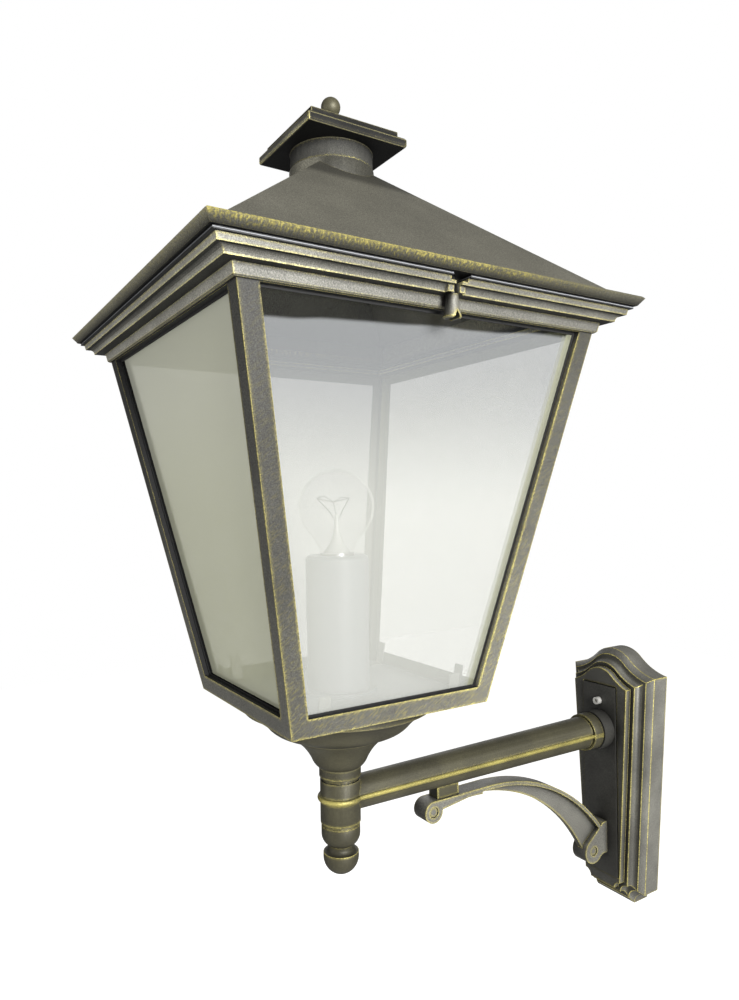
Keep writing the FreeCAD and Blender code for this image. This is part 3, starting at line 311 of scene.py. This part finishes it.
def paneMaterial(name, look):
    material, tree, shader = newMaterial("reflectionVeiledFloatGlass." + name)
    place = addNode(tree, "TexCoord").outputs["Object"]
    spot = addNode(tree, "SeparateXYZ", None, Vector=place)
    height = spot.outputs[2]
    level = addNode(tree, "MapRange", {"interpolation_type": "SMOOTHSTEP", 1: paneLook["top"] * mm,
                                       2: paneLook["bottom"] * mm}, i0=height).outputs[0]
    paneTint = addNode(tree, "ValToRGB", {"stops": [(0.0, look["head"]), (1.0, look["foot"])]},
                   Fac=level).outputs[0]
    cover = addNode(tree, "MapRange", {3: look["coverHead"], 4: look["coverFoot"]}, i0=level).outputs[0]
    if look.get("clearHead"):  # a wavy strip under the cornice where the painted reflection stops, an olive one up the far edge
        wave = addNode(tree, "TexNoise", {"Scale": 1000 / paneLook["wave"], "Detail": 1.0}, Vector=place)
        line = addNode(tree, "Math", {"operation": "MULTIPLY_ADD", 1: paneLook["waveDepth"] * mm},
                       i0=wave.outputs[0], i2=height).outputs[0]
        line = addNode(tree, "Math", {"operation": "MULTIPLY_ADD", 1: -paneLook["clearTilt"]},
                       i0=spot.outputs[1], i2=line).outputs[0]
        start = paneLook["clearFrom"] + paneLook["waveDepth"] / 2 - paneLook["clearTilt"] * axisY
        clear = addNode(tree, "MapRange", {
            "interpolation_type": "SMOOTHSTEP", 1: start * mm, 2: (start + paneLook["clearSoft"]) * mm,
            3: 1.0, 4: paneLook["clearCover"]}, i0=line).outputs[0]
        cover = addNode(tree, "Math", {"operation": "MULTIPLY"}, i0=cover, i1=clear).outputs[0]
        strip = farEdge(tree, spot)
        paneTint = addNode(tree, "Mix", {"data_type": "RGBA", 7: hexToLinear(paneLook["edgeStrip"])}, i0=strip,
                       i6=paneTint).outputs[2]
        cover = addNode(tree, "Mix", {3: paneLook["edgeCover"]}, i0=strip, i2=cover).outputs[0]
    if look.get("sealShadow"):  # black band over the street pane's left and bottom edges: the rubber seal, painted as dark as its reveal in shadow
        leftSealShadow, footSealShadow = look["sealShadow"]
        inset = addNode(tree, "Math", {"operation": "MULTIPLY_ADD", 1: reveals["lean"]}, i0=height,
                        i2=spot.outputs[0]).outputs[0]
        left = addNode(tree, "Math", {"operation": "LESS_THAN", 1: (leftSealShadow - windowHalf) * mm}, i0=inset)
        foot = addNode(tree, "Math", {"operation": "LESS_THAN", 1: (reveals["low"] + footSealShadow) * mm},
                       i0=height)
        sealShadow = addNode(tree, "Math", {"operation": "MAXIMUM"}, i0=left.outputs[0],
                      i1=foot.outputs[0]).outputs[0]
        paneTint = addNode(tree, "Mix", {"data_type": "RGBA", 7: hexToLinear(paneLook["sealShadow"])}, i0=sealShadow,
                       i6=paneTint).outputs[2]
        cover = addNode(tree, "Math", {"operation": "MAXIMUM"}, i0=cover, i1=sealShadow).outputs[0]
    shadow = addNode(tree, "LightPath").outputs["Is Shadow Ray"]  # the painted reflection lets most light on into the lantern
    through = addNode(tree, "MapRange", {3: 1.0, 4: paneLook["scatter"]}, i0=shadow).outputs[0]
    cover = addNode(tree, "Math", {"operation": "MULTIPLY"}, i0=cover, i1=through).outputs[0]
    tree.links.new(paneTint, shader.inputs["Base Color"])
    tree.links.new(cover, shader.inputs["Alpha"])
    shader.inputs["Roughness"].default_value = paneLook["rough"]
    shader.inputs["IOR"].default_value = paneLook["ior"]
    return material


# the plain materials: name, colour, roughness, metallic and depth of the specks
plain = {
    "steel": ("zincPlatedSteel", "#dedcd6", 0.3, 0.6, 0.15),  # plated: pale, with soft glints
    "dullSteel": ("dullZincSteel", "#8c8c88", 0.5, 0.5, 0.15),  # dull plating: grey, hardly a glint
    "rubber": ("blackGlazingRubber", "#0c0c0c", 0.7, 0.0, 0.3),  # extruded: a matte black line
    "white": ("mouldedWhitePlastic", "#7c7d82", 0.4, 0.0, 0.05),  # moulded: satin white, painted grey for the shade inside the lantern behind the panes
    "enamel": ("paleEnamel", "#909298", 0.5, 0.0, 0.06),  # stoved: even and pale, also painted grey for the shade inside the lantern
    "capMetal": ("brightLampCapAluminium", "#d4d4d2", 0.28, 0.95, 0.1),  # rolled: bright metal
    "stem": ("pressedStemGlass", "#b4b5b0", 0.2, 0.0, 0.0),  # pressed: a milky grey core in the bulb
    "wire": ("tungstenWire", "#2c2a28", 0.5, 0.4, 0.1),  # drawn: thin dark lines
}
speckSize = 1.2  # mm


def plainMaterial(name, colour, roughness, metallic, speck):
    material, tree, shader = newMaterial(name)
    place = addNode(tree, "TexCoord").outputs["Object"]
    noise = addNode(tree, "TexNoise", {"Scale": 1000 / speckSize, "Detail": 2.0}, Vector=place)
    base = hexToLinear(colour)
    low = [c * (1 - speck) for c in base[:3]] + [1]
    shade = addNode(tree, "Mix", {"data_type": "RGBA", 6: low, 7: base}, i0=noise.outputs[0])
    tree.links.new(shade.outputs[2], shader.inputs["Base Color"])
    shader.inputs["Roughness"].default_value = roughness
    shader.inputs["Metallic"].default_value = metallic
    return material


bulb = {"tint": "#f4f4ec", "cover": [(0.7, 0.03), (0.95, 0.85)], "rough": 0.03, "ior": 1.5}


def bulbMaterial():  # clear blown glass, almost unseen face on, with a painted reflection bright round its rim
    material, tree, shader = newMaterial("clearBulbGlass")
    rimward = addNode(tree, "LayerWeight", {"Blend": 0.5}).outputs["Facing"]
    cover = addNode(tree, "ValToRGB", {"stops": bulb["cover"]}, Fac=rimward).outputs[0]
    tree.links.new(cover, shader.inputs["Alpha"])
    shader.inputs["Base Color"].default_value = hexToLinear(bulb["tint"])
    shader.inputs["Roughness"].default_value = bulb["rough"]
    shader.inputs["IOR"].default_value = bulb["ior"]
    return material


# lid strip, heights in mm, then the stripes across it: painted shadow gaps above and below, the pale strip
# between
gasket = {"low": 457.3, "high": 459.0, "rough": 0.6,
          "stripes": [(0.4, "#1c1d1f"), (0.45, "#85878a"), (0.65, "#85878a"), (0.7, "#1c1d1f")]}


def gasketMaterial():  # extruded silicone, pale along its middle, painted dark above and below for the shadow gaps beside it
    material, tree, shader = newMaterial("shadowGappedSiliconeStrip")
    place = addNode(tree, "TexCoord").outputs["Object"]
    height = addNode(tree, "SeparateXYZ", None, Vector=place).outputs[2]
    level = addNode(tree, "MapRange", {1: gasket["low"] * mm, 2: gasket["high"] * mm}, i0=height).outputs[0]
    stripes = addNode(tree, "ValToRGB", {"stops": gasket["stripes"]}, Fac=level).outputs[0]
    tree.links.new(stripes, shader.inputs["Base Color"])
    shader.inputs["Roughness"].default_value = gasket["rough"]
    return material


materials = {finish: bronzeMaterial(**settings) for finish, settings in castings.items()}
materials.update({name: paneMaterial(name, look) for name, look in panes.items()})
materials.update({finish: plainMaterial(*settings) for finish, settings in plain.items()})
materials["silicone"] = gasketMaterial()
materials["bulb"] = bulbMaterial()
print("materials made:", len(materials))

finishes = {
    "bronze": ["wall_plate", "latch_screw"],
    "panel": ["arm_plate"],
    "turned": ["arm", "finial"],
    "knob": ["cap_knob"],
    "cornice": ["cornice_ring"],
    "brace": ["brace", "brace_pins"],
    "caps": ["chimney_cap"],
    "posts": ["cage_frame"],
    "roofs": ["roof"],
    "steel": ["arm_plate_screw", "arm_nut", "brace_screws", "stem_nipple", "stem_nut", "cornice_screws",
              "cap_nut", "hinge_pins"],
    "dullSteel": ["pane_clips"],
    "silicone": ["lid_gasket"],
    "rubber": ["pane_seal"],
    "white": ["lamp_pillar", "lampholder"],
    "enamel": ["floor_plate"],
    "capMetal": ["bulb_cap"],
    "bulb": ["bulb_glass"],
    "stem": ["bulb_stem"],
}
finishes.update({name: [name] for name in panes})
softening = {"wall_plate": 0.8, "arm": 0.5, "brace": 0.7, "finial": 0.6, "cornice_ring": 0.8,
             "cage_frame": 0.7, "roof": 0.7, "chimney_cap": 0.8, "latch_screw": 0.4}  # rounded edge, mm
rounding = {"weld": 0.01, "flatAngle": 0.4, "edgeAngle": 28, "segments": 2}  # mm and degrees


def softenEdges(node, width, edge):  # rounds the casting's sharp edges and rubs them to gold
    node.data.materials.append(materials[edge])
    weld = node.modifiers.new("weld", "WELD")
    weld.merge_threshold = rounding["weld"] * mm
    flat = node.modifiers.new("flatFaces", "DECIMATE")
    flat.decimate_type = "DISSOLVE"
    flat.angle_limit = math.radians(rounding["flatAngle"])
    bevel = node.modifiers.new("softEdge", "BEVEL")
    bevel.width = width * mm
    bevel.segments = rounding["segments"]
    bevel.limit_method = "ANGLE"
    bevel.angle_limit = math.radians(rounding["edgeAngle"])
    bevel.use_clamp_overlap = True
    bevel.material = 1  # the edge material just added
    bevel.harden_normals = True


for finish, names in finishes.items():
    for name in names:
        node = nodes[name]
        node.data.materials.clear()
        node.data.materials.append(materials[finish])
        if name in softening:
            softenEdges(node, softening[name], "capEdge" if finish in ("caps", "roofs") else "bronzeEdge")


def blackenReveals(node):  # the window edges are lined with glazing rubber
    node.data.materials.append(materials["rubber"])
    rubberSlot = len(node.data.materials) - 1
    shallow, deep = reveals["depth"]
    for face in node.data.polygons:
        spot = node.matrix_world @ face.center / mm
        wall = reveals["bottomHalf"] + reveals["lean"] * (spot.z - cageZ)
        depth = wall - max(abs(spot.x), abs(spot.y - axisY))
        farEdgeFace = spot.x > abs(spot.y - axisY) and face.normal.y < reveals["bare"]
        if reveals["low"] < spot.z < reveals["high"] and shallow < depth < deep and not farEdgeFace:
            face.material_index = rubberSlot


blackenReveals(nodes["cage_frame"])
print("finishes set")

# slim turned cup under the cage: radius and drop in mm, four numbers are an arc by way of a point
cup = {
    "outside": [(62, 0), (75, 0), (75, 6.5), (64, 13, 57.8, 18.8), (54.8, 22, 49.8, 25.2), (36, 30.8),
                (34.3, 33), (26.7, 41, 21.6, 50), (20.2, 52.2, 16.6, 55.6), (16.6, 63.2)],
    "hollow": [(5.4, 63.2), (5.4, 36), (20, 33), (34, 27), (46, 18), (62, 8)],
    "steps": 96, "arcSteps": 8, "sharpAngle": 20, "softening": 0.6,
}


def arcPoints(start, way, end, count):  # from start to end on the circle through all three
    a, b, c = (Vector(point) for point in (start, way, end))
    ab, ac = b - a, c - a
    turn = 2 * ab.cross(ac)
    across = Vector((ac.y * ab.length_squared - ab.y * ac.length_squared,
                     ab.x * ac.length_squared - ac.x * ab.length_squared)) / turn
    sweep = (-across).angle_signed(c - a - across)
    return [a + across + Matrix.Rotation(-sweep * i / count, 2) @ -across for i in range(1, count + 1)]


def addCup():
    line = []
    for point in cup["outside"] + cup["hollow"]:
        if len(point) == 4:
            line += arcPoints(line[-1], point[:2], point[2:], cup["arcSteps"])
        else:
            line.append(Vector(point))
    shape = bmesh.new()
    spots = [shape.verts.new((r * mm, axisY * mm, (cageZ - drop) * mm)) for r, drop in line]
    loop = [shape.edges.new((spots[i - 1], spots[i])) for i in range(len(spots))]
    bmesh.ops.spin(shape, geom=spots + loop, cent=(0, axisY * mm, 0), axis=(0, 0, 1), angle=math.tau,
                   steps=cup["steps"], use_merge=True)
    bmesh.ops.recalc_face_normals(shape, faces=shape.faces)
    mesh = bpy.data.meshes.new("turned_cup")
    shape.to_mesh(mesh)
    shape.free()
    mesh.shade_smooth()
    mesh.set_sharp_from_angle(angle=math.radians(cup["sharpAngle"]))
    piece = bpy.data.objects.new("turned_cup", mesh)
    bpy.context.collection.objects.link(piece)
    mesh.materials.append(materials["turned"])
    softenEdges(piece, cup["softening"], "capEdge")
    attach(piece, "bracket_and_cage")
    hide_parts("base_cup")


addCup()
print("cup turned")

# lamp wires: points in mm from the centre of the glass ball, then the wire's radius
wires = {
    "leads": ([[(-1, -2, -9), (-3, -5, -3), (-8, -13, 7)], [(1, 2, -9), (2.5, 4, -3), (5, 9, 7)]], 0.45),
    "hooks": ([[(0, 0, -7), (-6, 1, 4)], [(0, 0, -7), (4, -5, 4)]], 0.3),
    "filament": ([[(-8, -13, 7), (-9, -6, 9), (-6, 1, 4), (0, 5, 8), (5, 9, 7)],
                  [(-8, -13, 7), (4, -5, 4), (5, 9, 7)]], 0.4),
}
ballZ = 316.0  # centre of the bulb above the origin, mm


def addWires(name, runs, radius):
    curve = bpy.data.curves.new(name, "CURVE")
    curve.dimensions = "3D"
    curve.bevel_depth = radius * mm
    curve.bevel_resolution = 2
    for points in runs:
        line = curve.splines.new("POLY")
        line.points.add(len(points) - 1)
        for point, (x, y, z) in zip(line.points, points):
            point.co = (x * mm, (y + axisY) * mm, (z + ballZ) * mm, 1)
    shape = bpy.data.objects.new(name + ".path", curve)
    bpy.context.collection.objects.link(shape)
    bpy.context.view_layer.update()
    mesh = bpy.data.meshes.new_from_object(shape.evaluated_get(bpy.context.evaluated_depsgraph_get()))
    bpy.data.objects.remove(shape)
    wire = bpy.data.objects.new(name, mesh)
    bpy.context.collection.objects.link(wire)
    wire.data.materials.append(materials["wire"])
    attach(wire, "bracket_and_cage")


for wireName, (runs, radius) in wires.items():
    addWires("bulb_" + wireName, runs, radius)
print("bulb wires added")

# white studio: bright to the eye and through glass, a dim room as light; drop in mm, floor size in metres
studio = {"sky": 0.16, "floorDrop": 700.0, "floorSize": 8, "floor": "#b8b8b6", "floorRough": 0.9,
          "floorGlow": 0.95}


def seenDirectly(tree):  # 1 for camera and transmission rays
    path = addNode(tree, "LightPath")
    return addNode(tree, "Math", {"operation": "MAXIMUM"}, i0=path.outputs["Is Camera Ray"],
                   i1=path.outputs["Is Transmission Ray"]).outputs[0]


def addStudio():
    world = bpy.data.worlds.new("whiteTent")
    bpy.context.scene.world = world
    world.use_nodes = True
    tree = world.node_tree
    tree.nodes.clear()
    strength = addNode(tree, "MapRange", {3: studio["sky"], 4: 1.0}, i0=seenDirectly(tree)).outputs[0]
    back = addNode(tree, "Background", {"Color": (1, 1, 1, 1)}, Strength=strength)
    addNode(tree, "OutputWorld", None, Surface=back.outputs[0])
    floorPlace = (0, axisY * mm, -studio["floorDrop"] * mm)
    bpy.ops.mesh.primitive_plane_add(size=studio["floorSize"], location=floorPlace)
    floor = bpy.context.object
    floor.name = "studioFloor"
    material, tree, shader = newMaterial("whitePaperSweep")
    shader.inputs["Base Color"].default_value = hexToLinear(studio["floor"])
    shader.inputs["Roughness"].default_value = studio["floorRough"]
    shader.inputs["Emission Color"].default_value = (1, 1, 1, 1)
    glow = addNode(tree, "Math", {"operation": "MULTIPLY", 1: studio["floorGlow"]}, i0=seenDirectly(tree))
    tree.links.new(glow.outputs[0], shader.inputs["Emission Strength"])
    floor.data.materials.append(material)


lamps = {  # name: place, aim, size in metres and watts
    "sideBox": ((1.75, -0.35, 0.65), (0, -0.3, 0.3), 0.8, 74),
    "frontFill": ((-0.4, -2.2, 0.3), (0, -0.3, 0.3), 1.8, 13),
    "overhead": ((0.3, -0.5, 2.2), (0, -0.3, 0.3), 1.6, 2),
    "backFill": ((-1.6, 0.6, 0.7), (0, -0.3, 0.3), 1.4, 9),
}


def addLamps():
    for name, (place, aim, size, watts) in lamps.items():
        data = bpy.data.lights.new(name, "AREA")
        data.size = size
        data.energy = watts
        lamp = bpy.data.objects.new(name, data)
        bpy.context.collection.objects.link(lamp)
        lamp.location = place
        lamp.rotation_euler = (Vector(aim) - Vector(place)).to_track_quat("-Z", "Y").to_euler()


view = {"place": (507.4, -634.9, 321.7), "right": (0.5353, 0.8444, -0.0142),
        "ahead": (-0.8446, 0.5355, -0.0008), "lens": 26.5, "sensor": 36}  # all lengths in mm


def addCamera():
    data = bpy.data.cameras.new("photoCamera")
    data.lens = view["lens"]
    data.sensor_width = view["sensor"]
    camera = bpy.data.objects.new("photoCamera", data)
    bpy.context.collection.objects.link(camera)
    back = -Vector(view["ahead"]).normalized()
    right = Vector(view["right"]).normalized()
    up = back.cross(right).normalized()
    turn = Matrix((right, up, back)).transposed().to_4x4()
    camera.matrix_world = Matrix.Translation(Vector(view["place"]) * mm) @ turn
    bpy.context.scene.camera = camera


addStudio()
addLamps()
addCamera()
bpy.context.scene.view_settings.view_transform = "Standard"
print("studio ready")
